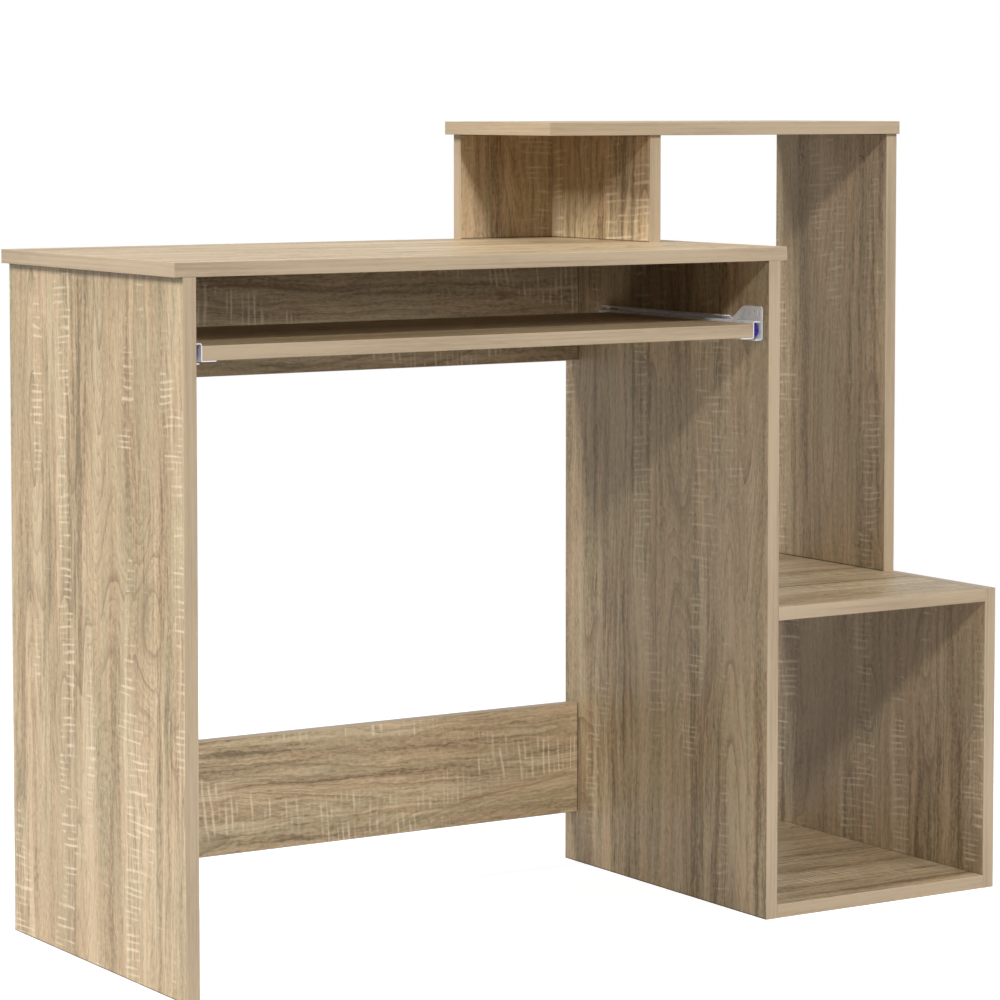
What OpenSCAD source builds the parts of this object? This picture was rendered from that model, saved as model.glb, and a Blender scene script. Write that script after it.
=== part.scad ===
/* [Desk] */
// Width of the desktop
desk_w = 750; // [700:10:1000]
// Depth of the desk, the cabinet and its boards
depth = 400; // [380:10:600]
// Height of the desktop's top face above the floor
desk_h = 740; // [720:5:760]
// Sideways overhang of the desktop past each side panel
overhang = 9; // [5:1:15]
// Thickness of every chipboard panel
board_t = 15; // [15:1:18]

/* [Cabinet and top shelf] */
// Clear width between the desk and the outer panel
bay_w = 293; // [250:1:400]
// Height of the cabinet shelf's top face
cabinet_h = 345; // [300:5:400]
// Overall height, to the top face of the top shelf
total_h = 875; // [860:5:1000]
// Length of the top shelf
top_w = 490; // [450:5:500]
// Depth of the top shelf, measured from the back
top_d = 220; // [215:1:240]
// Depth of the tall panel and of the stand, measured from the back
tall_d = 215; // [200:1:230]

/* [Stand on the desktop] */
// Distance from the desk's right panel to the stand's upright
stand_in = 14.5; // [10:0.5:40]
// Clear width of the stand's back plate
plate_w = 126; // [100:1:200]

/* [Rails] */
// Height of both rails
rail_h = 130; // [100:5:160]
// Gap between the floor and the lower rail
rail_lift = 60; // [40:5:120]
// Inset of the rails from the back
rail_inset = 12; // [8:1:30]

/* [Keyboard tray] */
// Depth of the tray
tray_d = 280; // [250:5:290]
// Height of the tray's top face
tray_h = 656; // [640:1:660]
// Setback of the tray and its slides from the front
tray_setback = 12; // [8:1:20]
// Length of the roller slides
slide_l = 300; // [290:10:310]

/* [Edging] */
// Thickness of the edging strips
band_t = 1; // [0.8:0.1:2]
// Radius on the long edges of the strips
band_r = 0.7; // [0.3:0.1:0.8]

/* [Hidden] */
$fn = 48;
LEFT = -1;
RIGHT = 1;
OAK = "BurlyWood";
BAND = "Wheat";
STEEL = "Silver";
WHITE = "White";
BLUE = "MediumBlue";

// Planes across the width; the origin is at the middle of the whole object's footprint
total_w = desk_w - overhang + bay_w + board_t;
x_desk = -total_w / 2;
x_left_out = x_desk + overhang;
x_left_in = x_left_out + board_t;
x_right_out = x_desk + desk_w - overhang;
x_right_in = x_right_out - board_t;
x_outer_in = x_right_out + bay_w;
x_outer_out = x_outer_in + board_t;
x_upright = x_right_in - stand_in - board_t;
x_plate = x_upright - plate_w;
knee_w = x_right_in - x_left_in;

// Planes along the depth
y_front = -depth / 2;
y_back = depth / 2;
y_rail = y_back - rail_inset;
y_tall = y_back - tall_d;
y_tray = y_front + tray_setback;

// Heights
side_h = desk_h - board_t;
top_under = total_h - board_t;
stand_h = top_under - desk_h;
tray_under = tray_h - board_t;

// Ways a flat board is turned: lying, across the width, and along the depth
LYING = [0, 0, 0];
ACROSS = [90, 0, 0];
ALONG = [90, 0, 90];

// Boards: [length, breadth, corner, turn, banded sides as [x-, x+, y-, y+] of the flat board]
DESKTOP = [desk_w, depth, [x_desk, y_front, side_h], LYING, [1, 1, 1, 1]];
LEFT_SIDE = [depth, side_h, [x_left_out, y_front, 0], ALONG, [1, 1, 0, 0]];
RIGHT_SIDE = [depth, side_h, [x_right_in, y_front, 0], ALONG, [1, 1, 0, 0]];
BACK_RAIL = [knee_w, rail_h, [x_left_in, y_rail, side_h - rail_h], ACROSS, [0, 0, 1, 0]];
LOWER_RAIL = [knee_w, rail_h, [x_left_in, y_rail, rail_lift], ACROSS, [0, 0, 1, 1]];
OUTER = [depth, cabinet_h, [x_outer_in, y_front, 0], ALONG, [1, 1, 0, 1]];
BOTTOM = [bay_w, depth, [x_right_out, y_front, 0], LYING, [0, 0, 1, 1]];
SHELF = [bay_w, depth, [x_right_out, y_front, cabinet_h - board_t], LYING, [0, 0, 1, 1]];
TALL = [tall_d, top_under - cabinet_h, [x_outer_in, y_tall, cabinet_h], ALONG, [1, 1, 0, 0]];
TOP = [top_w, top_d, [x_outer_out - top_w, y_back - top_d, top_under], LYING, [1, 1, 1, 1]];
UPRIGHT = [tall_d, stand_h, [x_upright, y_tall, desk_h], ALONG, [1, 1, 0, 0]];
PLATE = [plate_w, stand_h, [x_plate, y_back, desk_h], ACROSS, [1, 0, 0, 0]];

// Roller slide, measured from the panel's inner face (u) towards the tray
gauge = 1;
gap_w = 12.5;
TRAY = [knee_w - 2 * gap_w, tray_d, [x_left_in + gap_w, y_tray, tray_under], LYING, [1, 1, 1, 1]];
fold_r = 2.5;
z_run = tray_under - gauge;
z_rail = z_run - 2.2;
rail_top = z_rail + 25.2;
rail_flange = 9.5;
flag_top = z_rail + 36.8;
flag_flat = 30;
flag_ramp = 59;
flag_r = 3;
run_top = z_run + 18.7;
run_inner = 2.5;
run_shelf = 16;
shelf_fold = 1.5;
roller_r = 8.5;
roller_u = 2.5;
roller_w = 6.6;
air = 0.3;
axle_r = 2;
running = 0.05;
y_slide_end = y_tray + slide_l;
y_front_roller = y_tray + 12;
z_front_roller = run_top - gauge - air - roller_r;
y_rear_roller = y_slide_end - 20;
z_rear_roller = z_rail + gauge + air + roller_r;
z_rail_screw = z_rail + 17.2;
rail_screw_ys = [38, 140, 240];
tray_screw_ys = [45, 140, 235];
u_tray_screw = 20.5;

// Fittings
bolt_r = 2.45;
bolt_deep = 11;
bolt_hole_r = 2.5;
stem_hole_r = 4;
cam_reach = 34;
cam_r = 7.45;
cam_hole_r = 7.5;
cam_deep = 12.5;
dowel_r = 3.95;
dowel_hole_r = 4;
dowel_in_face = 9.5;
dowel_in_edge = 20;
cover_r = 8.5;
cover_t = 0.6;
confirmat_l = 50;
screw_r = 1.7;
screw_hole_r = 1.75;
screw_head_r = 3.2;
screw_head_h = 0.8;
screw_l = 12;

// Rows of fittings: [start, turn, direction of the row, cam offsets, dowel offsets, covered]
// In a row's own frame +Z runs into the edge of one board and +X faces the open side of the cam
wide_cams = [-depth / 2 + 70, depth / 2 - 70];
wide_dowels = [-depth / 2 + 35, depth / 2 - 35];
tall_cams = [-tall_d / 2 + 50, tall_d / 2 - 50];
tall_dowels = [-tall_d / 2 + 25, tall_d / 2 - 25];
half = board_t / 2;
y_tall_mid = y_tall + tall_d / 2;
y_rail_mid = y_rail - half;
desk_left = [[x_left_out + half, 0, side_h], [180, 0, 0], [0, 1, 0], wide_cams, wide_dowels, 1];
desk_right = [[x_right_in + half, 0, side_h], [180, 0, 0], [0, 1, 0], wide_cams, wide_dowels, 1];
function rail_left(z) = [[x_left_in, y_rail_mid, z], [90, 0, 90], [0, 0, 1], [0], [-40, 40], 1];
function rail_right(z) = [[x_right_in, y_rail_mid, z], [-90, 0, 90], [0, 0, 1], [0], [-40, 40], 1];
function bay_near(z) = [[x_right_out, 0, z], [0, 90, 0], [0, 1, 0], wide_cams, wide_dowels, 0];
function bay_far(z) = [[x_outer_in, 0, z], [180, 90, 0], [0, 1, 0], wide_cams, wide_dowels, 0];
tall_foot = [[x_outer_in + half, y_tall_mid, cabinet_h], [0, 0, 180], [0, 1, 0],
             tall_cams, tall_dowels, 1];
tall_head = [[x_outer_in + half, y_tall_mid, top_under], [0, 180, 0], [0, 1, 0],
             tall_cams, tall_dowels, 1];
stand_head = [[x_upright + half, y_tall_mid, top_under], [180, 0, 0], [0, 1, 0],
              tall_cams, tall_dowels, 1];
plate_head = [[x_plate + plate_w / 2, y_back - half, top_under], [180, 0, 0], [1, 0, 0],
              [], [-40, 40], 0];
z_low = rail_lift + rail_h / 2;
z_high = side_h - rail_h / 2;
z_bottom = half;
z_shelf = cabinet_h - half;
rails_left = [rail_left(z_low), rail_left(z_high)];
rails_right = [rail_right(z_low), rail_right(z_high)];
bays_near = [bay_near(z_bottom), bay_near(z_shelf)];
bays_far = [bay_far(z_bottom), bay_far(z_shelf)];
ROWS = concat([desk_left, desk_right], rails_left, rails_right, bays_near, bays_far,
              [tall_foot, tall_head, stand_head, plate_head]);

// Stand screws: [start, turn, direction of the row, offsets]; +Z runs along the screw from its head
under_upright = [[x_upright + half, y_tall_mid, side_h], LYING, [0, 1, 0], [-60, 30]];
under_plate = [[x_plate + plate_w / 2, y_back - half, side_h], LYING, [1, 0, 0], [-40, 5]];
behind_plate = [[x_upright + board_t, y_back - half, desk_h + stand_h / 2], [0, -90, 0],
                [0, 0, 1], [-38, 0]];
SCREW_ROWS = [under_upright, under_plate, behind_plate];

// ---- boards ----

module lay(b) {
  translate(b[2]) rotate(b[3]) children();
}

// Chipboard core of a board, short of its strips on the banded sides
module core(b) {
  s = b[4] * band_t;
  lay(b) translate([s[0], s[2], 0])
    cube([b[0] - s[0] - s[1], b[1] - s[2] - s[3], board_t]);
}

function arc(c, r, from, to, n = 4) =
  [for (i = [0:n]) c + r * [cos(from + (to - from) * i / n), sin(from + (to - from) * i / n)]];

// One strip, running along +Z, its outer face at x = 0 and its glued face at x = band_t
module strip(length) {
  linear_extrude(length)
    polygon(concat([[band_t, 0], [band_t, board_t]],
                   arc([band_r, board_t - band_r], band_r, 90, 180),
                   arc([band_r, band_r], band_r, 180, 270)));
}

// Strips on a board: those on the long y sides run past the ends of those on the x sides
module edging(b) {
  n = b[4];
  short = b[1] - (n[2] + n[3]) * band_t;
  lay(b) {
    if (n[0]) translate([0, b[1] - n[3] * band_t, 0]) rotate([90, 0, 0]) strip(short);
    if (n[1]) translate([b[0], n[2] * band_t, 0]) rotate([90, 0, 180]) strip(short);
    if (n[2]) rotate([90, 0, 90]) strip(b[0]);
    if (n[3]) translate([b[0], b[1], 0]) rotate([90, 0, -90]) strip(b[0]);
  }
}

// ---- rows of fittings ----

module at_row(row, offsets) {
  for (o = offsets) translate(row[0] + row[2] * o) rotate(row[1]) children();
}

module rod(r, from, to) {
  translate([0, 0, from]) cylinder(h = to - from, r = r);
}

// Everything drilled for one row: bolt and cam holes, and dowel holes
module drill(row) {
  at_row(row, row[3]) {
    rod(bolt_hole_r, -bolt_deep, 0);
    rod(stem_hole_r, 0, cam_reach);
    translate([half - cam_deep, 0, cam_reach]) rotate([0, 90, 0]) rod(cam_hole_r, 0, cam_deep + 1);
  }
  at_row(row, row[4]) rod(dowel_hole_r, -dowel_in_face - 0.5, dowel_in_edge + 0.5);
}

module drill_rows(rows) {
  for (row = rows) drill(row);
}

// Stepped and countersunk hole for the stand screws of one row
module drill_confirmat(row) {
  at_row(row, row[3]) {
    translate([0, 0, -1]) cylinder(h = 1, r = 5.05);
    cylinder(h = 3.2, r1 = 5.05, r2 = 3.55);
    rod(3.55, 3, board_t);
    rod(2.5, board_t, confirmat_l + 1);
  }
}

module board(b, rows = [], screws = []) {
  color(OAK) difference() {
    core(b);
    drill_rows(rows);
    for (row = screws) drill_confirmat(row);
  }
}

// Side panel with the pilot holes for its slide's screws
module side_panel(side) {
  color(OAK) difference() {
    children();
    rail_screw_places(side) rod(screw_hole_r, -1, screw_l);
  }
}

// ---- boards, one module each ----

module desktop() board(DESKTOP, [desk_left, desk_right], [under_upright, under_plate]);

module left_side_panel() side_panel(LEFT) board(LEFT_SIDE, concat([desk_left], rails_left));

module right_side_panel() {
  side_panel(RIGHT) board(RIGHT_SIDE, concat([desk_right], rails_right, bays_near));
}

module back_rail() board(BACK_RAIL, [rail_left(z_high), rail_right(z_high)]);
module lower_rail() board(LOWER_RAIL, [rail_left(z_low), rail_right(z_low)]);
module cabinet_outer_panel() board(OUTER, concat(bays_far, [tall_foot]));
module cabinet_bottom() board(BOTTOM, [bay_near(z_bottom), bay_far(z_bottom)]);
module cabinet_shelf() board(SHELF, [bay_near(z_shelf), bay_far(z_shelf)]);
module tall_panel() board(TALL, [tall_foot, tall_head]);
module top_shelf() board(TOP, [tall_head, stand_head, plate_head]);
module stand_upright() board(UPRIGHT, [stand_head], [under_upright, behind_plate]);
module stand_back_plate() board(PLATE, [plate_head], [under_plate, behind_plate]);

module keyboard_tray() {
  color(OAK) difference() {
    core(TRAY);
    tray_screw_places() rod(screw_hole_r, -1, screw_l);
  }
}

// ---- edging strips, one module for each board's set ----

module strips(b) {
  color(BAND) edging(b);
}

module desktop_edging() strips(DESKTOP);
module left_side_edging() strips(LEFT_SIDE);
module right_side_edging() strips(RIGHT_SIDE);
module back_rail_edging() strips(BACK_RAIL);
module lower_rail_edging() strips(LOWER_RAIL);
module tray_edging() strips(TRAY);
module cabinet_bottom_edging() strips(BOTTOM);
module cabinet_shelf_edging() strips(SHELF);
module tall_panel_edging() strips(TALL);
module top_shelf_edging() strips(TOP);
module stand_upright_edging() strips(UPRIGHT);
module back_plate_edging() strips(PLATE);

module outer_panel_edging() {
  color(BAND) difference() {
    edging(OUTER);
    drill(tall_foot);
  }
}

// ---- fittings ----

// Cam bolt: thread in the face of one board, stem and round head in the edge of the other
module cam_bolt() {
  rod(bolt_r, 0.2 - bolt_deep, 0);
  rod(3.4, 0, cam_reach - 8);
  rod(2.2, cam_reach - 8, cam_reach - 3);
  translate([0, 0, cam_reach - 3]) rotate_extrude()
    polygon([[0, 0], [2.2, 0], [3.4, 1.2], [3.4, 3], [2.6, 4.5], [0, 4.5]]);
}

// Cam lock: round housing with a mouth for the bolt's head and a crosswise driver slot
module cam_lock() {
  difference() {
    translate([half - cam_deep + 0.1, 0, cam_reach]) rotate([0, 90, 0]) rod(cam_r, 0, cam_deep - 0.3);
    rod(3.8, cam_reach - cam_r - 1, cam_reach + 2.5);
    for (turn = [0, 90]) translate([half - 2, 0, cam_reach]) rotate([turn, 0, 0])
      translate([0, -4, -0.7]) cube([3, 8, 1.4]);
  }
}

// Self-adhesive cover over a cam lock, thin and slightly domed at its rim
module cam_cover() {
  translate([half, 0, cam_reach]) rotate([0, 90, 0]) rotate_extrude()
    polygon([[0, 0], [cover_r, 0], [cover_r, cover_t / 3], [cover_r - cover_t, cover_t], [0, cover_t]]);
}

module dowel() {
  rotate_extrude()
    polygon([[0, -dowel_in_face], [dowel_r - 1, -dowel_in_face], [dowel_r, 1 - dowel_in_face],
             [dowel_r, dowel_in_edge - 1], [dowel_r - 1, dowel_in_edge], [0, dowel_in_edge]]);
}

// Confirmat screw: countersunk hexagon-socket head, plain shoulder, thick thread
module stand_screw() {
  difference() {
    rotate_extrude()
      polygon([[0, 0.1], [4.95, 0.1], [3.45, 3.3], [3.45, board_t - 0.2], [2.45, board_t],
               [2.45, confirmat_l - 2], [0, confirmat_l]]);
    rotate([0, 0, 30]) cylinder(h = 2.6, r = 2.3, $fn = 6);
  }
}

module cam_bolts() {
  color(STEEL) for (row = ROWS) at_row(row, row[3]) cam_bolt();
}

module cam_locks() {
  color(STEEL) for (row = ROWS) at_row(row, row[3]) cam_lock();
}

module cam_covers() {
  color(OAK) for (row = ROWS) if (row[5]) at_row(row, row[3]) cam_cover();
}

module wood_dowels() {
  color(BAND) for (row = ROWS) at_row(row, row[4]) dowel();
}

module stand_screws() {
  color(STEEL) for (row = SCREW_ROWS) at_row(row, row[3]) stand_screw();
}

// ---- roller slides ----

// Draws for one side of the knee space, with +X running from the panel's face towards the tray
module on_side(side) {
  translate([side == LEFT ? x_left_in : x_right_in, 0, 0])
    mirror([side == LEFT ? 0 : 1, 0, 0]) children();
}

// Flat sheet in the plane along the depth, its outline as [y, z] points
module upright_sheet(u, thick) {
  translate([u, 0, 0]) rotate([90, 0, 90]) linear_extrude(thick) children();
}

// Folded sheet from y_from to y_to, its section drawn in [u, z]
module folded(y_from, y_to) {
  translate([0, y_to, 0]) rotate([90, 0, 0]) linear_extrude(y_to - y_from) children();
}

module flat(from, to) {
  translate(from) square(to - from);
}

// Quarter-round fold whose outer sides meet at corner; out points from its centre to the corner
module fold(corner, out, r) {
  translate([corner[0] - out[0] * r, corner[1] - out[1] * r]) intersection() {
    difference() {
      circle(r);
      circle(r - gauge);
    }
    translate([min(0, out[0] * r), min(0, out[1] * r)]) square(r);
  }
}

module cross_rod(r, from, to, y, z) {
  translate([0, y, z]) rotate([0, 90, 0]) rod(r, from, to);
}

module rail_screw_places(side) {
  on_side(side) for (y = rail_screw_ys) translate([0, y_tray + y, z_rail_screw])
    rotate([0, -90, 0]) children();
}

module tray_screw_places() {
  for (side = [LEFT, RIGHT]) on_side(side) for (y = tray_screw_ys)
    translate([u_tray_screw, y_tray + y, tray_under]) children();
}

// Smooth drop from the flag's top edge to the rail's, as [y, z] points
function flag_slope(n = 10) = [for (i = [0:n])
  [y_tray + flag_ramp - (flag_ramp - flag_flat) * i / n,
   rail_top - fold_r + (flag_top - rail_top + fold_r) * (1 - cos(180 * i / n)) / 2]];

// Fixed rail: a folded channel screwed to the panel, with a raised flag at the front
module slide_rail(side) {
  color(WHITE) difference() {
    on_side(side) {
      upright_sheet(0, gauge) polygon(concat(
        [[y_tray, z_rail + fold_r], [y_slide_end, z_rail + fold_r], [y_slide_end, rail_top - fold_r]],
        flag_slope(),
        arc([y_tray + flag_r, flag_top - flag_r], flag_r, 90, 180)));
      folded(y_tray, y_slide_end) {
        fold([0, z_rail], [-1, -1], fold_r);
        flat([fold_r, z_rail], [rail_flange, z_rail + gauge]);
      }
      folded(y_tray + flag_ramp, y_slide_end) {
        fold([0, rail_top], [-1, 1], fold_r);
        flat([fold_r, rail_top - gauge], [rail_flange, rail_top]);
      }
    }
    on_side(side) {
      cross_rod(axle_r + 0.02, -1, 2, y_front_roller, z_front_roller);
      for (y = rail_screw_ys) cross_rod(1.9, -1, 2, y_tray + y, z_rail_screw);
      cross_rod(1.5, -1, 2, y_tray + 14, flag_top - 6.2);
      upright_sheet(-1, 3) slot([y_tray + 6.5, flag_top - 7], 1.2, [0, 1], 2.2);
      upright_sheet(-1, 3) slot([y_slide_end - 14, z_rail + 20.5], 1.6, [1, 0], 7.5);
    }
  }
}

// Slot with round ends, reach to each side of its middle
module slot(middle, r, along, reach) {
  for (way = [-1, 1]) translate(middle + along * reach * way) circle(r);
  across = [along[1], along[0]];
  size = 2 * (along * reach + across * r);
  translate(middle - size / 2) square(size);
}

// Moving runner: a folded sheet with a flange over the front roller and a shelf under the tray
module slide_runner(side) {
  color(WHITE) difference() {
    on_side(side) {
      folded(y_tray, y_slide_end) {
        flat([run_inner, run_top - gauge], [gap_w - fold_r, run_top]);
        fold([gap_w, run_top], [1, 1], fold_r);
        flat([gap_w - gauge, z_run + shelf_fold], [gap_w, run_top - fold_r]);
      }
      folded(y_tray, y_tray + tray_d) {
        fold([gap_w - gauge, z_run], [-1, -1], shelf_fold);
        flat([gap_w - gauge + shelf_fold, z_run], [gap_w + run_shelf, tray_under]);
      }
    }
    on_side(side) cross_rod(axle_r + 0.02, gap_w - 2, gap_w + 1, y_rear_roller, z_rear_roller);
    tray_screw_places() rod(1.9, -2, 1);
  }
}

// Roller: a plastic tyre with softened rims, recessed faces and a plain bore
module roller(side, y, z) {
  color(BLUE) on_side(side) translate([roller_u, y, z]) rotate([0, 90, 0]) rotate_extrude()
    polygon([[axle_r + running, 0], [axle_r + 1.6, 0], [axle_r + 1.6, 0.7], [roller_r - 1.8, 0.7],
             [roller_r - 1.4, 0], [roller_r - 0.5, 0], [roller_r, 0.6], [roller_r, roller_w - 0.6],
             [roller_r - 0.5, roller_w], [roller_r - 1.4, roller_w],
             [roller_r - 1.8, roller_w - 0.7], [axle_r + 1.6, roller_w - 0.7],
             [axle_r + 1.6, roller_w], [axle_r + running, roller_w]]);
}

// Rivet axle from the sheet at u = root, with a collar before the roller and a head past it
module rivet(root, collar, far, head) {
  rotate([0, 90, 0]) {
    rod(axle_r, min(root, head), max(root, head));
    rod(3, min(collar), max(collar));
    rod(3.2, min(far, head), max(far, head));
  }
}

module slide_rail_left() slide_rail(LEFT);
module slide_rail_right() slide_rail(RIGHT);
module slide_runner_left() slide_runner(LEFT);
module slide_runner_right() slide_runner(RIGHT);
module front_roller_left() roller(LEFT, y_front_roller, z_front_roller);
module front_roller_right() roller(RIGHT, y_front_roller, z_front_roller);
module rear_roller_left() roller(LEFT, y_rear_roller, z_rear_roller);
module rear_roller_right() roller(RIGHT, y_rear_roller, z_rear_roller);

module front_rivets() {
  inner = roller_u - 0.4;
  outer = roller_u + roller_w + 0.3;
  color(STEEL) for (side = [LEFT, RIGHT]) on_side(side) translate([0, y_front_roller, z_front_roller])
    rivet(0, [gauge, inner], outer, outer + 0.9);
}

module rear_rivets() {
  inner = roller_u + roller_w + 0.4;
  outer = roller_u - 0.2;
  color(STEEL) for (side = [LEFT, RIGHT]) on_side(side) translate([0, y_rear_roller, z_rear_roller])
    rivet(gap_w, [inner, gap_w - gauge], outer, outer - 0.9);
}

// Flat-head screw with a cross recess, its head's underside at z = 0 and its shank along +Z
module small_screw(length) {
  difference() {
    rotate_extrude()
      polygon([[0, -screw_head_h], [screw_head_r - 0.6, -screw_head_h], [screw_head_r, -0.2],
               [screw_head_r, 0], [screw_r, 0], [screw_r, length - 2], [0, length]]);
    for (turn = [0, 90]) rotate([0, 0, turn]) translate([-1.8, -0.4, -screw_head_h - 1])
      cube([3.6, 0.8, 1.5]);
  }
}

module rail_screws() {
  color(STEEL) for (side = [LEFT, RIGHT]) rail_screw_places(side)
    translate([0, 0, -gauge]) small_screw(screw_l);
}

module tray_screws() {
  color(STEEL) tray_screw_places() translate([0, 0, -gauge]) small_screw(screw_l);
}

desktop();
left_side_panel();
right_side_panel();
back_rail();
lower_rail();
keyboard_tray();
cabinet_outer_panel();
cabinet_bottom();
cabinet_shelf();
tall_panel();
top_shelf();
stand_upright();
stand_back_plate();
desktop_edging();
left_side_edging();
right_side_edging();
back_rail_edging();
lower_rail_edging();
tray_edging();
outer_panel_edging();
cabinet_bottom_edging();
cabinet_shelf_edging();
tall_panel_edging();
top_shelf_edging();
stand_upright_edging();
back_plate_edging();
cam_bolts();
cam_locks();
cam_covers();
wood_dowels();
stand_screws();
slide_rail_left();
slide_rail_right();
slide_runner_left();
slide_runner_right();
front_roller_left();
front_roller_right();
rear_roller_left();
rear_roller_right();
front_rivets();
rear_rivets();
rail_screws();
tray_screws();
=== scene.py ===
import math

import bpy
from bpy.props import FloatProperty, FloatVectorProperty, PointerProperty
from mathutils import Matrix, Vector


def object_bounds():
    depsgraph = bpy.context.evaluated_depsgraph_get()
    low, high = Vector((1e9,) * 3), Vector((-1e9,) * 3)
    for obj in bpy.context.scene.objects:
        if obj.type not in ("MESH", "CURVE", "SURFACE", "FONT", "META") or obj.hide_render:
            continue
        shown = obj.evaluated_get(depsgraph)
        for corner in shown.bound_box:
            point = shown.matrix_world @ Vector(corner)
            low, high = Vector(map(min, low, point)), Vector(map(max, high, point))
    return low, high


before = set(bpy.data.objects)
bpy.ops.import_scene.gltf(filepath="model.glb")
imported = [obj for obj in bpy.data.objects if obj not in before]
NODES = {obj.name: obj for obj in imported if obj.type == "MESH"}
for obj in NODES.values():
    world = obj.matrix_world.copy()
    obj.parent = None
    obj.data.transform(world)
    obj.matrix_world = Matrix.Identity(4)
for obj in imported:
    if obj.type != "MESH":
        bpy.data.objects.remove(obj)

bl_info = {
    "name": "Computer desk with keyboard tray",
    "version": (1, 0, 0),
    "blender": (4, 5, 0),
    "location": "View3D > Sidebar > Desk",
    "description": "Dresses the desk's boards, edging, slides and fittings, and sets its stage",
    "category": "Object",
}

CAD_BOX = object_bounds()

# Which way each board lies: the axes along its grain, across its grain and through its thickness
UPRIGHT_ALONG = ("Z", "Y", "X")
UPRIGHT_ACROSS = ("Z", "X", "Y")
LYING = ("X", "Y", "Z")
RAIL = ("X", "Z", "Y")

BOARDS = {
    "desktop": LYING,
    "left_side_panel": UPRIGHT_ALONG,
    "right_side_panel": UPRIGHT_ALONG,
    "back_rail": RAIL,
    "lower_rail": RAIL,
    "keyboard_tray": LYING,
    "cabinet_outer_panel": UPRIGHT_ALONG,
    "cabinet_bottom": LYING,
    "cabinet_shelf": LYING,
    "tall_panel": UPRIGHT_ALONG,
    "top_shelf": LYING,
    "stand_upright": UPRIGHT_ALONG,
    "stand_back_plate": UPRIGHT_ACROSS,
}
EDGINGS = {
    "desktop_edging": LYING,
    "left_side_edging": UPRIGHT_ALONG,
    "right_side_edging": UPRIGHT_ALONG,
    "back_rail_edging": RAIL,
    "lower_rail_edging": RAIL,
    "tray_edging": LYING,
    "outer_panel_edging": UPRIGHT_ALONG,
    "cabinet_bottom_edging": LYING,
    "cabinet_shelf_edging": LYING,
    "tall_panel_edging": UPRIGHT_ALONG,
    "top_shelf_edging": LYING,
    "stand_upright_edging": UPRIGHT_ALONG,
    "back_plate_edging": UPRIGHT_ACROSS,
}
# Boards whose ends carry edging; the ends of all the others butt against a board
FREE_ENDS = ["desktop", "keyboard_tray", "top_shelf"]
# Boards whose stretch of the print has weaker saw marks, with the share that is left
FAINT_MARKS = {"right_side_panel": 0.65, "tall_panel": 0.8, "desktop": 0.6, "keyboard_tray": 0.6}
SHEET_STEEL = ["slide_rail_left", "slide_rail_right", "slide_runner_left", "slide_runner_right"]
ROLLERS = ["front_roller_left", "front_roller_right", "rear_roller_left", "rear_roller_right"]
PLATED = ["cam_bolts", "stand_screws", "front_rivets", "rear_rivets", "rail_screws", "tray_screws"]

# How far each board's stretch of the endless print lies from the one before, in metres
PRINT_STEP = (1.73, 0.61, 0.37)
# Slight tints that drift along the grain
REDDISH = (1.025, 0.985, 0.955, 1.0)
GREENISH = (0.975, 1.01, 0.985, 1.0)
# Near-black tone of the painted shade along the joints where boards butt together, also standing for the
# film's dark cut edge
JOINT_SHADE_TONE = (0.05, 0.035, 0.02, 1.0)
BEECH_LIGHT = (0.74, 0.55, 0.34, 1.0)
BEECH_MIDDLE = (0.62, 0.43, 0.24, 1.0)
BEECH_DARK = (0.56, 0.37, 0.20, 1.0)

# Lamps: name, side length, place from the middle of the desk, and whether reflections show it
LAMPS = [
    ("key", 0.7, (-1.8, -6.0, 4.5), True),
    ("side", 1.9, (-5.0, 0.3, 3.7), False),
    ("top", 2.5, (0.0, -0.3, 3.4), True),
    ("front", 1.0, (1.7, -3.2, 1.8), True),
]
SENSOR_WIDTH = 36.0


# ---- sizes and colours ----

def number(name, text, value, **more):
    return FloatProperty(name=name, description=text, default=value, **more)


def triple(name, text, value, **more):
    return FloatVectorProperty(name=name, description=text, size=3, min=0, default=value, **more)


def colour(name, text, value):
    return triple(name, text, value, subtype="COLOR", max=1)


class DeskOakSettings(bpy.types.PropertyGroup):
    light: colour("Light oak", "Colour of the pale grain", (0.600, 0.455, 0.288))
    middle: colour("Middle oak", "Colour of the plain grain", (0.460, 0.341, 0.204))
    dark: colour("Dark oak", "Colour of the growth lines and dark streaks", (0.215, 0.148, 0.080))
    pale: colour("Saw marks", "Colour of the pale marks across the grain", (0.780, 0.655, 0.465))
    marks: number("Mark strength", "How strongly the saw marks show", 0.74, min=0, max=1)
    relief: number("Relief", "Depth of the embossed grain", 0.00025, unit="LENGTH")
    roughness: number("Roughness", "Average roughness of the melamine", 0.42, min=0, max=1)
    core: colour("Chipboard", "Colour of the raw chipboard edges", (0.45, 0.32, 0.19))
    # Width of the painted shade line at the cut ends, standing for the joint's shadow line and the film's
    # dark cut edge
    seam: number("Seam", "Width of the dark line where a board butts against another", 0.0018,
                 unit="LENGTH")


class DeskEdgingSettings(bpy.types.PropertyGroup):
    light: colour("Light edging", "Pale tone of the edging's print", (0.508, 0.385, 0.250))
    dark: colour("Dark edging", "Dark tone of the edging's print", (0.362, 0.270, 0.170))
    roughness: number("Roughness", "Roughness of the edging's plastic", 0.38, min=0, max=1)


class DeskMetalSettings(bpy.types.PropertyGroup):
    white: colour("White paint", "Powder coat of the slides", (0.94, 0.94, 0.95))
    zinc: colour("Zinc", "Plating of the bolts and screws", (0.62, 0.64, 0.67))
    casting: colour("Casting", "Die-cast cam locks", (0.42, 0.43, 0.45))
    paint_relief: number("Paint relief", "Depth of the powder coat's orange peel", 0.00003, unit="LENGTH")


class DeskRollerSettings(bpy.types.PropertyGroup):
    blue: colour("Blue", "Nylon of the rollers", (0.040, 0.022, 0.300))
    worn: colour("Worn blue", "Tone of the scuffed tread", (0.120, 0.095, 0.460))


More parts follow.
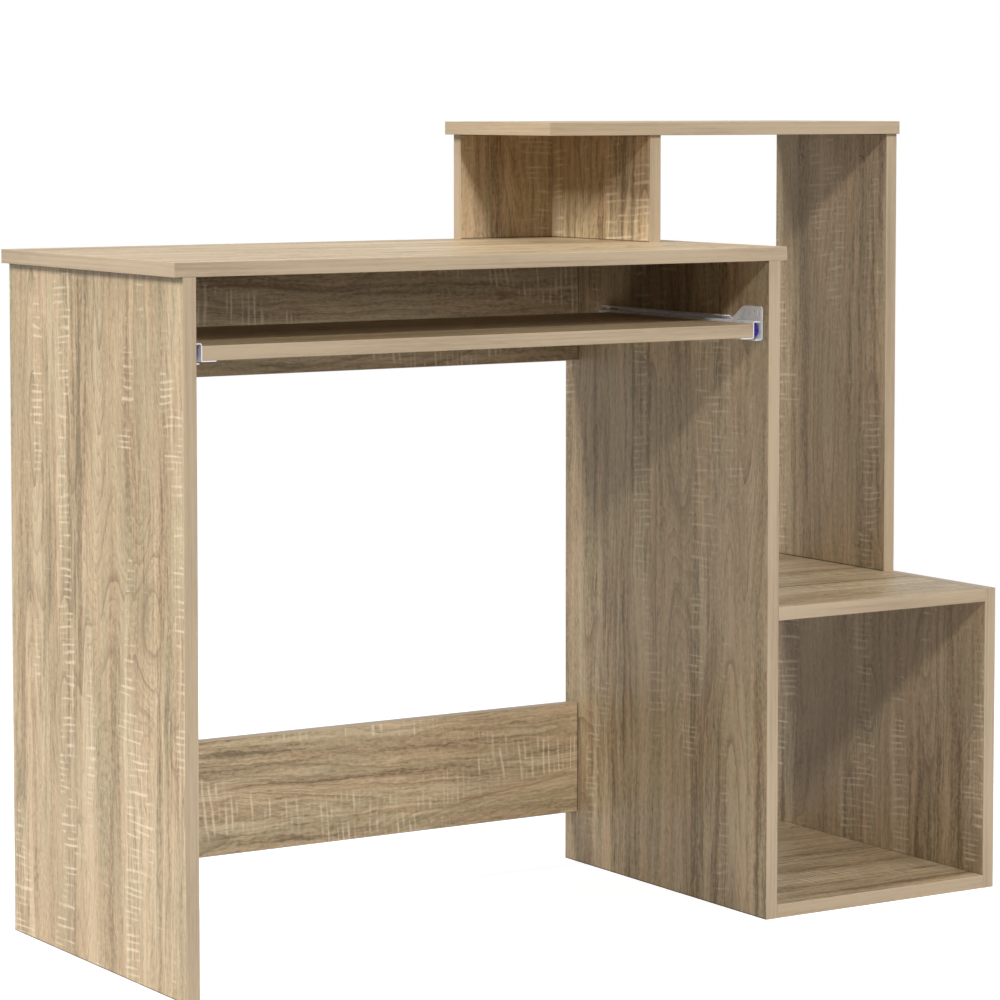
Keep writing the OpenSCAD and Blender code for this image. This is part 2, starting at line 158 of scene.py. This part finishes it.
class DeskStageSettings(bpy.types.PropertyGroup):
    floor: colour("Floor", "Colour of the floor", (0.68, 0.69, 0.71))
    floor_solid: number("Solid floor", "Distance up to which the floor is solid", 0.9, unit="LENGTH")
    floor_reach: number("Floor reach", "Distance at which the floor has melted into the backdrop", 2.6,
                        unit="LENGTH")
    floor_glow: number("Floor glow", "Light of its own that keeps the floor near white", 0.66, min=0)
    sky: number("Sky", "Strength of the even light all round", 0.155, min=0)
    sky_tint: triple("Sky tint", "Tint of the even light", (0.87, 0.97, 1.11))
    mirrored: number("Mirrored sky", "How much of the white backdrop shows in reflections", 0.55, min=0,
                     max=1)
    key: number("Key", "Power of the lamp in front, a little to the left", 302.0, min=0, unit="POWER")
    side: number("Side", "Power of the lamp at the left", 345.0, min=0, unit="POWER")
    top: number("Top", "Power of the lamp overhead", 39.0, min=0, unit="POWER")
    front: number("Front", "Power of the lamp at the front right", 38.0, min=0, unit="POWER")
    eye_x: number("Camera X", "Camera's place along the width", -2.2047, unit="LENGTH")
    eye_y: number("Camera Y", "Camera's place in front of the desk", -3.4258, unit="LENGTH")
    eye_z: number("Camera Z", "Camera's height above the floor", 0.8957, unit="LENGTH")
    turn: number("Turn", "How far the camera looks to the right of straight ahead",
                 math.radians(32.549), unit="ROTATION")
    tilt: number("Tilt", "How far the camera looks down", math.radians(3.816), unit="ROTATION")
    lens: number("Lens", "Focal length in millimetres, on a 36 mm sensor", 133.09, min=10)
    shift: number("Shift", "Vertical lens shift, as a share of the picture", -0.15)


# ---- shader building blocks ----

def add(tree, kind, values=None, **settings):
    """Adds a node, sets its properties, and fills or links its inputs."""
    node = tree.nodes.new(kind)
    for key, value in settings.items():
        setattr(node, key, value)
    for key, value in (values or {}).items():
        if isinstance(value, bpy.types.NodeSocket):
            tree.links.new(value, node.inputs[key])
        else:
            node.inputs[key].default_value = value
    return node


def calc(tree, operation, a, b=0.0, clamp=False):
    return add(tree, "ShaderNodeMath", {0: a, 1: b}, operation=operation, use_clamp=clamp).outputs[0]


def stretch(tree, place, scale):
    return add(tree, "ShaderNodeVectorMath", {0: place, 1: scale}, operation="MULTIPLY").outputs[0]


def noise(tree, place, scale, detail=2.0, roughness=0.5):
    """Noise with its own scale along each axis, per metre, from 0 to 1."""
    values = {"Vector": stretch(tree, place, scale), "Scale": 1.0, "Detail": detail,
              "Roughness": roughness}
    return add(tree, "ShaderNodeTexNoise", values).outputs[0]


def remap(tree, value, low, high, to_low=0.0, to_high=1.0):
    values = {"Value": value, "From Min": low, "From Max": high, "To Min": to_low, "To Max": to_high}
    return add(tree, "ShaderNodeMapRange", values, interpolation_type="SMOOTHSTEP").outputs[0]


def centred(tree, value, size):
    """Swings a 0 to 1 value about zero, times a size."""
    return calc(tree, "MULTIPLY", calc(tree, "SUBTRACT", value, 0.5), size)


def mix(tree, share, a, b, blend="MIX"):
    return add(tree, "ShaderNodeMix", {0: share, 6: a, 7: b}, data_type="RGBA",
               blend_type=blend).outputs[2]


def mix_numbers(tree, share, a, b):
    return add(tree, "ShaderNodeMix", {0: share, 2: a, 3: b}).outputs[0]


def stain(tree, body, mask, strength, tone):
    """Lays a tone over a colour where a mask shows."""
    return mix(tree, calc(tree, "MULTIPLY", mask, strength), body, tone)


def red_part(tree, socket):
    """The red channel of a colour, as a number."""
    return add(tree, "ShaderNodeSeparateColor", {0: socket}).outputs[0]


def split(tree, socket):
    return add(tree, "ShaderNodeSeparateXYZ", {0: socket}).outputs


def combine(tree, sockets):
    return add(tree, "ShaderNodeCombineXYZ", dict(enumerate(sockets))).outputs[0]


def rgba(value):
    return (*value, 1.0)


def new_group(name, inputs, outputs):
    """Makes a shader node group with named sockets and returns its tree, inputs and output node."""
    tree = bpy.data.node_groups.new(name, "ShaderNodeTree")
    for label, kind in inputs:
        tree.interface.new_socket(label, in_out="INPUT", socket_type="NodeSocket" + kind)
    for label, kind in outputs:
        tree.interface.new_socket(label, in_out="OUTPUT", socket_type="NodeSocket" + kind)
    return tree, tree.nodes.new("NodeGroupInput").outputs, tree.nodes.new("NodeGroupOutput")


def finish_group(tree, out, sockets):
    for label, socket in sockets.items():
        tree.links.new(socket, out.inputs[label])
    return tree


def place_group(tree, group_tree, values):
    return add(tree, "ShaderNodeGroup", values, node_tree=group_tree).outputs


# ---- shared effects ----

def wandering_grain(tree, place):
    """The grain wanders: slow bends, small ripples and a fine curl push it sideways."""
    parts = split(tree, place)
    bend = centred(tree, noise(tree, place, (1.6, 7.0, 9.0)), 0.040)
    ripple = centred(tree, noise(tree, place, (13.0, 34.0, 9.0), 3.0, 0.6), 0.0105)
    curl = centred(tree, noise(tree, place, (75.0, 95.0, 9.0), 1.0), 0.0034)
    across = calc(tree, "ADD", calc(tree, "ADD", parts[1], curl), calc(tree, "ADD", bend, ripple))
    return combine(tree, [parts[0], across, parts[2]])


def scattered_knots(tree, place):
    """A few long soft spots, 1 at the middle, round which the growth lines close."""
    spot = stretch(tree, place, (2.6, 7.0, 9.0))
    cell = add(tree, "ShaderNodeTexVoronoi", {"Vector": spot, "Scale": 1.0})
    chosen = remap(tree, red_part(tree, cell.outputs["Color"]), 0.58, 0.60)
    return calc(tree, "MULTIPLY", chosen, remap(tree, cell.outputs["Distance"], 0.40, 0.0))


def growth_lines(tree, place, grain, knot):
    """Contours of a long, lazy field, sharp on one side and fading on the other, and hairlines between."""
    field = calc(tree, "MULTIPLY", noise(tree, grain, (0.85, 7.0, 9.0), 1.5, 0.45), 27.0)
    rings = calc(tree, "ADD", field, calc(tree, "MULTIPLY", knot, 5.0))
    late = calc(tree, "POWER", calc(tree, "FRACT", rings), 7.0)
    hair = calc(tree, "POWER", calc(tree, "FRACT", calc(tree, "MULTIPLY", rings, 3.7)), 5.0)
    shown = remap(tree, noise(tree, place, (2.4, 17.0, 9.0), 1.0), 0.42, 0.58)
    shown = calc(tree, "MAXIMUM", shown, remap(tree, knot, 0.08, 0.35))
    hair_shown = remap(tree, noise(tree, place, (3.0, 20.0, 9.0), 1.0), 0.38, 0.56)
    return calc(tree, "MULTIPLY", late, shown), calc(tree, "MULTIPLY", hair, hair_shown)


def saw_marks(tree, place, grain, streak, fibre):
    """Pale marks left by the saw: short rungs, crowded into columns that follow the grain."""
    parts = split(tree, place)
    uneven = noise(tree, place, (80.0, 60.0, 9.0), 2.0, 0.6)
    column = noise(tree, grain, (3.4, 19.0, 9.0), 1.0, 0.5)
    column = remap(tree, calc(tree, "ADD", column, centred(tree, uneven, 0.16)), 0.53, 0.62)
    # the rungs: 135 to the metre, a little bent and leaning, and at an uneven pace
    wobble = centred(tree, noise(tree, place, (7.0, 20.0, 9.0), 1.0), 0.006)
    lean = calc(tree, "MULTIPLY", parts[1], 0.06)
    level = calc(tree, "MULTIPLY", calc(tree, "ADD", calc(tree, "ADD", parts[0], wobble), lean), 135.0)
    pace = centred(tree, noise(tree, place, (22.0, 4.0, 9.0), 1.0), 3.4)
    ladder = calc(tree, "FRACT", calc(tree, "ADD", level, pace))
    rung = remap(tree, calc(tree, "ABSOLUTE", centred(tree, ladder, 1.0)), 0.27, 0.05)
    faint = remap(tree, noise(tree, place, (95.0, 24.0, 9.0), 1.0), 0.40, 0.64)
    # pale strands between the rungs, and single marks outside the columns
    strand = calc(tree, "MULTIPLY", remap(tree, streak, 0.50, 0.68), 0.30)
    stray = remap(tree, noise(tree, place, (210.0, 22.0, 9.0), 1.0), 0.68, 0.80)
    marks = calc(tree, "ADD", calc(tree, "MULTIPLY", rung, faint), strand)
    marks = calc(tree, "MULTIPLY", column, marks)
    marks = calc(tree, "ADD", marks, calc(tree, "MULTIPLY", stray, 0.30), True)
    return calc(tree, "MULTIPLY", marks, remap(tree, fibre, 0.25, 0.60, 0.40, 1.0))


def plain_wood(tree, place, grain, streak, fibre, given):
    """Broad bands, then streaks and fibres that are calm in places, flecks, and a drifting tint."""
    band = noise(tree, grain, (1.3, 21.0, 9.0), 2.0, 0.5)
    fleck = noise(tree, grain, (150.0, 300.0, 9.0), 2.0, 0.65)
    lively = remap(tree, noise(tree, place, (2.2, 9.0, 9.0), 1.0), 0.36, 0.62, 0.55, 1.20)
    lengthwise = calc(tree, "ADD", centred(tree, streak, 1.50), centred(tree, fibre, 1.15))
    tone = calc(tree, "ADD", centred(tree, band, 1.25), calc(tree, "MULTIPLY", lengthwise, lively))
    tone = calc(tree, "ADD", tone, centred(tree, fleck, 0.85))
    dim = mix(tree, remap(tree, tone, 0.0, -0.48), given["Middle"], given["Dark"])
    body = mix(tree, remap(tree, tone, -0.04, 0.34), dim, given["Light"])
    hue = remap(tree, noise(tree, grain, (5.0, 42.0, 9.0), 2.0), 0.36, 0.64)
    return mix(tree, 1.0, body, mix(tree, hue, REDDISH, GREENISH), "MULTIPLY")


def oak_print_group():
    """Pale sawn oak as a printed film. Place runs along the grain, across it and through the board."""
    tree, given, out = new_group(
        "Oak print",
        [("Place", "Vector"), ("Light", "Color"), ("Middle", "Color"), ("Dark", "Color"),
         ("Pale", "Color"), ("Marks", "Float")],
        [("Color", "Color"), ("Height", "Float"), ("Sheen", "Float")])
    place = given["Place"]
    grain = wandering_grain(tree, place)
    streak = noise(tree, grain, (2.6, 95.0, 9.0), 3.0, 0.6)
    fibre = noise(tree, grain, (17.0, 270.0, 9.0), 3.0, 0.7)
    pores = remap(tree, noise(tree, grain, (60.0, 520.0, 9.0), 1.0), 0.60, 0.72)
    spears = remap(tree, noise(tree, grain, (13.0, 100.0, 9.0), 1.0), 0.70, 0.82)
    knot = scattered_knots(tree, place)
    lines, hairs = growth_lines(tree, place, grain, knot)
    saw = calc(tree, "MULTIPLY", saw_marks(tree, place, grain, streak, fibre), given["Marks"])

    body = plain_wood(tree, place, grain, streak, fibre, given)
    for mask, strength in [(lines, 0.70), (hairs, 0.46), (remap(tree, knot, 0.60, 1.0), 0.6),
                           (pores, 0.40), (spears, 0.55)]:
        body = stain(tree, body, mask, strength, given["Dark"])
    body = mix(tree, saw, body, given["Pale"])

    height = calc(tree, "ADD", calc(tree, "MULTIPLY", fibre, 0.6), calc(tree, "MULTIPLY", streak, 0.5))
    height = calc(tree, "SUBTRACT", height, calc(tree, "MULTIPLY", pores, 0.6))
    height = calc(tree, "SUBTRACT", height, calc(tree, "MULTIPLY", saw, 0.3))
    sheen = calc(tree, "ADD", calc(tree, "MULTIPLY", fibre, 0.6), calc(tree, "MULTIPLY", pores, 0.4))
    return finish_group(tree, out, {"Color": body, "Height": height, "Sheen": sheen})


def chipboard_group():
    """Raw pressed chips, for edges and bores that have no film."""
    tree, given, out = new_group("Chipboard", [("Place", "Vector"), ("Tone", "Color")],
                                 [("Color", "Color"), ("Height", "Float")])
    spot = stretch(tree, given["Place"], (380.0, 380.0, 900.0))
    chips = add(tree, "ShaderNodeTexVoronoi", {"Vector": spot, "Scale": 1.0})
    shade = red_part(tree, chips.outputs["Color"])
    dust = noise(tree, given["Place"], (1500.0, 1500.0, 1500.0), 2.0)
    dark = mix(tree, 1.0, given["Tone"], (0.55, 0.50, 0.42, 1.0), "MULTIPLY")
    light = mix(tree, 1.0, given["Tone"], (1.35, 1.32, 1.25, 1.0), "MULTIPLY")
    tone = calc(tree, "ADD", calc(tree, "MULTIPLY", shade, 0.7), calc(tree, "MULTIPLY", dust, 0.3))
    return finish_group(tree, out, {"Color": mix(tree, tone, dark, light), "Height": tone})


def speckle_group():
    """Fine even unevenness, for paint, plating and moulded plastic."""
    tree, given, out = new_group("Speckle", [("Place", "Vector"), ("Scale", "Float")],
                                 [("Fine", "Float"), ("Cloud", "Float")])
    place = given["Place"]
    fine = add(tree, "ShaderNodeTexNoise", {"Vector": place, "Scale": given["Scale"], "Detail": 3.0})
    values = {"Vector": place, "Scale": 55.0, "Detail": 4.0, "Roughness": 0.6}
    cloud = add(tree, "ShaderNodeTexNoise", values)
    return finish_group(tree, out, {"Fine": fine.outputs[0], "Cloud": cloud.outputs[0]})


GROUPS = {}


def group(name):
    """Each shared effect is built once and then reused."""
    makers = {"oak": oak_print_group, "chips": chipboard_group, "speckle": speckle_group}
    if name not in GROUPS:
        GROUPS[name] = makers[name]()
    return GROUPS[name]


# ---- materials ----

def new_material(name):
    material = bpy.data.materials.new(name)
    material.use_nodes = True
    tree = material.node_tree
    shader = tree.nodes["Principled BSDF"]
    return material, tree, shader


def link(tree, shader, **sockets):
    for key, socket in sockets.items():
        tree.links.new(socket, shader.inputs[key.replace("_", " ")])


def bump(tree, height, distance, strength):
    values = {"Height": height, "Distance": distance, "Strength": strength}
    return add(tree, "ShaderNodeBump", values).outputs[0]


def coordinates(tree):
    """The object's own coordinates and its own normal, each split by axis."""
    source = add(tree, "ShaderNodeTexCoord").outputs
    spots = dict(zip("XYZ", split(tree, source["Object"])))
    faces = dict(zip("XYZ", split(tree, source["Normal"])))
    return spots, faces, source


def shifted(tree, sockets, seed):
    """Combines three coordinates and moves to another part of the endless print."""
    offset = [seed * step for step in PRINT_STEP]
    place = combine(tree, sockets)
    return add(tree, "ShaderNodeVectorMath", {0: place, 1: offset}, operation="ADD").outputs[0]


def oak_values(settings, place, share=1.0):
    return {"Place": place, "Light": rgba(settings.light), "Middle": rgba(settings.middle),
            "Dark": rgba(settings.dark), "Pale": rgba(settings.pale), "Marks": settings.marks * share}


def film_roughness(tree, film, settings):
    """The fibres and pores are a little duller than the rest of the film."""
    return calc(tree, "ADD", calc(tree, "MULTIPLY", film["Sheen"], 0.16), settings.roughness - 0.06)


def painted_joint_shade(tree, name, spot, axis, settings):
    """Painted shade: a dark line along the cut ends of a board's film, where it meets the next board,
    standing for the joint's shadow line together with the film's dark cut edge.
    """
    corners = [corner["XYZ".index(axis)] for corner in NODES[name].bound_box]
    start = calc(tree, "SUBTRACT", spot, min(corners))
    end = calc(tree, "SUBTRACT", max(corners), spot)
    return remap(tree, calc(tree, "MINIMUM", start, end), settings.seam, 0.2 * settings.seam)


def oak_material(name, axes, seed, settings):
    """Oak film on a board's two faces, and raw chipboard where a face looks any other way."""
    material, tree, shader = new_material("oak_" + name)
    spots, faces, source = coordinates(tree)
    place = shifted(tree, [spots[a] for a in axes], seed)
    film = place_group(tree, group("oak"), oak_values(settings, place, FAINT_MARKS.get(name, 1.0)))
    chips = place_group(tree, group("chips"), {"Place": source["Object"], "Tone": rgba(settings.core)})
    raw = calc(tree, "LESS_THAN", calc(tree, "ABSOLUTE", faces[axes[2]]), 0.5)
    height = mix_numbers(tree, raw, film["Height"], chips["Height"])
    print_colour = film["Color"]
    # Painted shade: darken the film near both cut ends, for the joint's shadow line and the film's dark
    # cut edge
    if name not in FREE_ENDS:
        seam = painted_joint_shade(tree, name, spots[axes[0]], axes[0], settings)
        print_colour = stain(tree, print_colour, seam, 0.85, JOINT_SHADE_TONE)
    link(tree, shader, Base_Color=mix(tree, raw, print_colour, chips["Color"]),
         Roughness=mix_numbers(tree, raw, film_roughness(tree, film, settings), 0.85),
         Normal=bump(tree, height, settings.relief, 0.7))
    return material


def edging_material(name, axes, seed, settings):
    """Printed plastic strip: faint lengthwise streaks that follow whichever side the strip is on."""
    material, tree, shader = new_material(name)
    spots, faces, source = coordinates(tree)
    long_axis, short_axis, thin_axis = axes
    on_end = calc(tree, "GREATER_THAN", calc(tree, "ABSOLUTE", faces[long_axis]),
                  calc(tree, "ABSOLUTE", faces[short_axis]))
    along = mix_numbers(tree, on_end, spots[long_axis], spots[short_axis])
    place = shifted(tree, [along, spots[thin_axis], on_end], seed)
    streak = noise(tree, place, (3.0, 260.0, 5.0), 4.0, 0.6)
    fleck = noise(tree, place, (45.0, 700.0, 5.0), 3.0, 0.6)
    drift = noise(tree, place, (4.0, 30.0, 5.0), 2.0)
    tone = calc(tree, "ADD", calc(tree, "MULTIPLY", streak, 0.45), calc(tree, "MULTIPLY", fleck, 0.2))
    tone = calc(tree, "ADD", tone, calc(tree, "MULTIPLY", drift, 0.35))
    body = mix(tree, remap(tree, tone, 0.34, 0.60), rgba(settings.dark), rgba(settings.light))
    link(tree, shader, Base_Color=body,
         Roughness=calc(tree, "ADD", calc(tree, "MULTIPLY", fleck, 0.12), settings.roughness - 0.06),
         Normal=bump(tree, fleck, 0.00008, 0.5))
    return material


def cover_material(settings, seed):
    """Oak foil on the cam covers; its grain follows the board that a cover sits on."""
    material, tree, shader = new_material("cover_foil")
    spots, faces, source = coordinates(tree)
    on_rail = calc(tree, "GREATER_THAN", calc(tree, "ABSOLUTE", faces["Y"]),
                   calc(tree, "ABSOLUTE", faces["X"]))
    sockets = [mix_numbers(tree, on_rail, spots[a], spots[b]) for a, b in zip(UPRIGHT_ALONG, RAIL)]
    film = place_group(tree, group("oak"), oak_values(settings, shifted(tree, sockets, seed)))
    link(tree, shader, Base_Color=film["Color"], Roughness=film_roughness(tree, film, settings),
         Normal=bump(tree, film["Height"], settings.relief, 0.7))
    return material


def paint_material(settings):
    """White powder coat with a fine orange peel."""
    material, tree, shader = new_material("white_powder_coat")
    source = add(tree, "ShaderNodeTexCoord").outputs
    peel = place_group(tree, group("speckle"), {"Place": source["Object"], "Scale": 900.0})
    shade = mix(tree, remap(tree, peel["Cloud"], 0.3, 0.7), rgba([v * 0.94 for v in settings.white]),
                rgba(settings.white))
    link(tree, shader, Base_Color=shade,
         Roughness=remap(tree, peel["Cloud"], 0.2, 0.8, 0.24, 0.36),
         Normal=bump(tree, peel["Fine"], settings.paint_relief, 0.6))
    shader.inputs["IOR"].default_value = 1.8
    shader.inputs["Coat Weight"].default_value = 0.6
    return material


def plated_material(name, tone, rough):
    """Bright zinc or a dull casting, clouded and finely grained."""
    material, tree, shader = new_material(name)
    source = add(tree, "ShaderNodeTexCoord").outputs
    grain = place_group(tree, group("speckle"), {"Place": source["Object"], "Scale": 2200.0})
    dull = rgba([v * 0.78 for v in tone])
    bright = rgba([v * 1.12 for v in tone])
    shade = mix(tree, grain["Cloud"], dull, bright)
    shader.inputs["Metallic"].default_value = 1.0
    link(tree, shader, Base_Color=shade,
         Roughness=remap(tree, grain["Cloud"], 0.2, 0.8, rough - 0.08, rough + 0.10),
         Normal=bump(tree, grain["Fine"], 0.00004, 0.6))
    return material


def roller_material(settings):
    """Moulded blue nylon with a lighter, scuffed tread."""
    material, tree, shader = new_material("blue_nylon")
    spots, faces, source = coordinates(tree)
    mottle = place_group(tree, group("speckle"), {"Place": source["Object"], "Scale": 1400.0})
    tread = remap(tree, calc(tree, "ABSOLUTE", faces["X"]), 0.6, 0.2)
    scuff = calc(tree, "MULTIPLY", tread, remap(tree, mottle["Cloud"], 0.40, 0.62))
    dark = rgba([v * 0.8 for v in settings.blue])
    body = mix(tree, mottle["Fine"], dark, rgba(settings.blue))
    link(tree, shader, Base_Color=stain(tree, body, scuff, 0.25, rgba(settings.worn)),
         Roughness=calc(tree, "ADD", calc(tree, "MULTIPLY", scuff, 0.2), 0.28),
         Normal=bump(tree, mottle["Fine"], 0.00003, 0.5))
    return material


def beech_material():
    """Turned beech for the dowels: short flecks along the grain."""
    material, tree, shader = new_material("turned_beech")
    source = add(tree, "ShaderNodeTexCoord").outputs
    fleck = noise(tree, source["Object"], (260.0, 700.0, 260.0), 3.0)
    broad = noise(tree, source["Object"], (40.0, 90.0, 40.0), 2.0)
    body = mix(tree, remap(tree, fleck, 0.4, 0.65), BEECH_MIDDLE, BEECH_LIGHT)
    body = stain(tree, body, broad, 0.5, BEECH_DARK)
    link(tree, shader, Base_Color=body, Roughness=remap(tree, fleck, 0.3, 0.7, 0.5, 0.7),
         Normal=bump(tree, fleck, 0.0001, 0.5))
    return material


def dress(name, material):
    """Gives every material slot of a carried-over node the material."""
    node = NODES[name]
    for slot in node.material_slots:
        slot.material = material


# ---- operators ----

class DESK_OT_boards(bpy.types.Operator):
    """Dress the thirteen boards in sawn oak film, each with its own stretch of the print"""
    bl_idname = "desk.boards"
    bl_label = "Boards"

    def execute(self, context):
        for seed, (name, axes) in enumerate(BOARDS.items(), 1):
            dress(name, oak_material(name, axes, seed, context.scene.desk_oak))
        return {"FINISHED"}


class DESK_OT_edging(bpy.types.Operator):
    """Dress the edging strips in printed plastic"""
    bl_idname = "desk.edging"
    bl_label = "Edging"

    def execute(self, context):
        for seed, (name, axes) in enumerate(EDGINGS.items(), 1):
            dress(name, edging_material("print_" + name, axes, seed, context.scene.desk_edging))
        return {"FINISHED"}


class DESK_OT_slides(bpy.types.Operator):
    """Paint the slides' rails and runners white"""
    bl_idname = "desk.slides"
    bl_label = "Roller slides"

    def execute(self, context):
        paint = paint_material(context.scene.desk_metal)
        for name in SHEET_STEEL:
            dress(name, paint)
        return {"FINISHED"}


class DESK_OT_rollers(bpy.types.Operator):
    """Give the four rollers their blue nylon"""
    bl_idname = "desk.rollers"
    bl_label = "Rollers"

    def execute(self, context):
        nylon = roller_material(context.scene.desk_roller)
        for name in ROLLERS:
            dress(name, nylon)
        return {"FINISHED"}


class DESK_OT_fittings(bpy.types.Operator):
    """Dress the bolts, screws, cam locks, covers and dowels"""
    bl_idname = "desk.fittings"
    bl_label = "Fittings"

    def execute(self, context):
        metal = context.scene.desk_metal
        zinc = plated_material("bright_zinc", metal.zinc, 0.30)
        for name in PLATED:
            dress(name, zinc)
        dress("cam_locks", plated_material("dull_casting", metal.casting, 0.45))
        tall_seed = 1 + list(BOARDS).index("tall_panel")
        dress("cam_covers", cover_material(context.scene.desk_oak, tall_seed))
        dress("wood_dowels", beech_material())
        return {"FINISHED"}


def stage_floor(settings):
    """A pale floor that melts into the backdrop some way from the desk."""
    side = settings.floor_reach
    mesh = bpy.data.meshes.new("floor")
    corners = [(-side, -side, 0), (side, -side, 0), (side, side, 0), (-side, side, 0)]
    mesh.from_pydata(corners, [], [(0, 1, 2, 3)])
    floor = bpy.data.objects.new("floor", mesh)
    bpy.context.scene.collection.objects.link(floor)
    material, tree, shader = new_material("pale_floor")
    shader.inputs["Base Color"].default_value = rgba(settings.floor)
    shader.inputs["Roughness"].default_value = 0.9
    shader.inputs["Emission Color"].default_value = (1.0, 1.0, 1.0, 1.0)
    seen = add(tree, "ShaderNodeLightPath").outputs["Is Camera Ray"]
    link(tree, shader, Emission_Strength=calc(tree, "MULTIPLY", seen, settings.floor_glow))
    source = add(tree, "ShaderNodeTexCoord").outputs
    away = add(tree, "ShaderNodeVectorMath", {0: source["Object"]}, operation="LENGTH").outputs["Value"]
    link(tree, shader, Alpha=remap(tree, away, settings.floor_solid, side, 1.0, 0.0))
    mesh.materials.append(material)


def stage_lamp(name, power, size, place, target, glints):
    data = bpy.data.lights.new(name, "AREA")
    data.energy = power
    data.size = size
    lamp = bpy.data.objects.new(name, data)
    lamp.visible_glossy = glints
    lamp.location = place
    lamp.rotation_euler = (Vector(target) - Vector(place)).to_track_quat("-Z", "Y").to_euler()
    bpy.context.scene.collection.objects.link(lamp)


def stage_camera(settings):
    data = bpy.data.cameras.new("camera")
    data.sensor_width = SENSOR_WIDTH
    data.lens = settings.lens
    data.shift_y = settings.shift
    data.clip_start = 0.05
    data.clip_end = 200.0
    camera = bpy.data.objects.new("camera", data)
    camera.location = (settings.eye_x, settings.eye_y, settings.eye_z)
    camera.rotation_euler = (math.pi / 2 - settings.tilt, 0.0, -settings.turn)
    bpy.context.scene.collection.objects.link(camera)
    bpy.context.scene.camera = camera


def stage_sky(settings):
    world = bpy.data.worlds.new("studio")
    world.use_nodes = True
    tree = world.node_tree
    background = tree.nodes["Background"]
    backdrop = add(tree, "ShaderNodeBackground", {"Color": (1.0, 1.0, 1.0, 1.0), "Strength": 1.0})
    background.inputs["Color"].default_value = rgba(settings.sky_tint)
    background.inputs["Strength"].default_value = settings.sky
    path = add(tree, "ShaderNodeLightPath").outputs
    mirrored = calc(tree, "MULTIPLY", path["Is Glossy Ray"], settings.mirrored)
    share = calc(tree, "MAXIMUM", path["Is Camera Ray"], mirrored)
    blend = add(tree, "ShaderNodeMixShader", {0: share, 1: background.outputs[0], 2: backdrop.outputs[0]})
    tree.links.new(blend.outputs[0], tree.nodes["World Output"].inputs["Surface"])
    bpy.context.scene.world = world


class DESK_OT_stage(bpy.types.Operator):
    """Set the floor, the soft light and the camera"""
    bl_idname = "desk.stage"
    bl_label = "Stage"

    def execute(self, context):
        settings = context.scene.desk_stage
        context.scene.view_settings.view_transform = "Standard"
        stage_camera(settings)
        stage_floor(settings)
        stage_sky(settings)
        low, high = CAD_BOX
        centre = (low + high) / 2
        for name, size, place, glints in LAMPS:
            stage_lamp(name, getattr(settings, name), size, centre + Vector(place), centre, glints)
        return {"FINISHED"}


class DESK_PT_panel(bpy.types.Panel):
    """Lists the desk's pieces and its stage"""
    bl_idname = "DESK_PT_panel"
    bl_label = "Computer desk"
    bl_space_type = "VIEW_3D"
    bl_region_type = "UI"
    bl_category = "Desk"

    def draw(self, context):
        for operator in OPERATORS:
            self.layout.operator(operator.bl_idname)
        for name in SETTINGS:
            box = self.layout.box()
            group_settings = getattr(context.scene, name)
            for key in group_settings.__annotations__:
                box.prop(group_settings, key)


SETTINGS = {"desk_oak": DeskOakSettings, "desk_edging": DeskEdgingSettings,
            "desk_metal": DeskMetalSettings, "desk_roller": DeskRollerSettings,
            "desk_stage": DeskStageSettings}
OPERATORS = [DESK_OT_stage, DESK_OT_boards, DESK_OT_edging, DESK_OT_slides, DESK_OT_rollers,
             DESK_OT_fittings]


def register():
    for kind in [*SETTINGS.values(), *OPERATORS, DESK_PT_panel]:
        bpy.utils.register_class(kind)
    for name, kind in SETTINGS.items():
        setattr(bpy.types.Scene, name, PointerProperty(type=kind))


def unregister():
    for name in SETTINGS:
        delattr(bpy.types.Scene, name)
    for kind in reversed([*SETTINGS.values(), *OPERATORS, DESK_PT_panel]):
        bpy.utils.unregister_class(kind)


def main():
    register()
    for operator in OPERATORS:
        call = getattr(bpy.ops.desk, operator.bl_idname.split(".")[1])
        call()


if __name__ == "__main__":
    main()
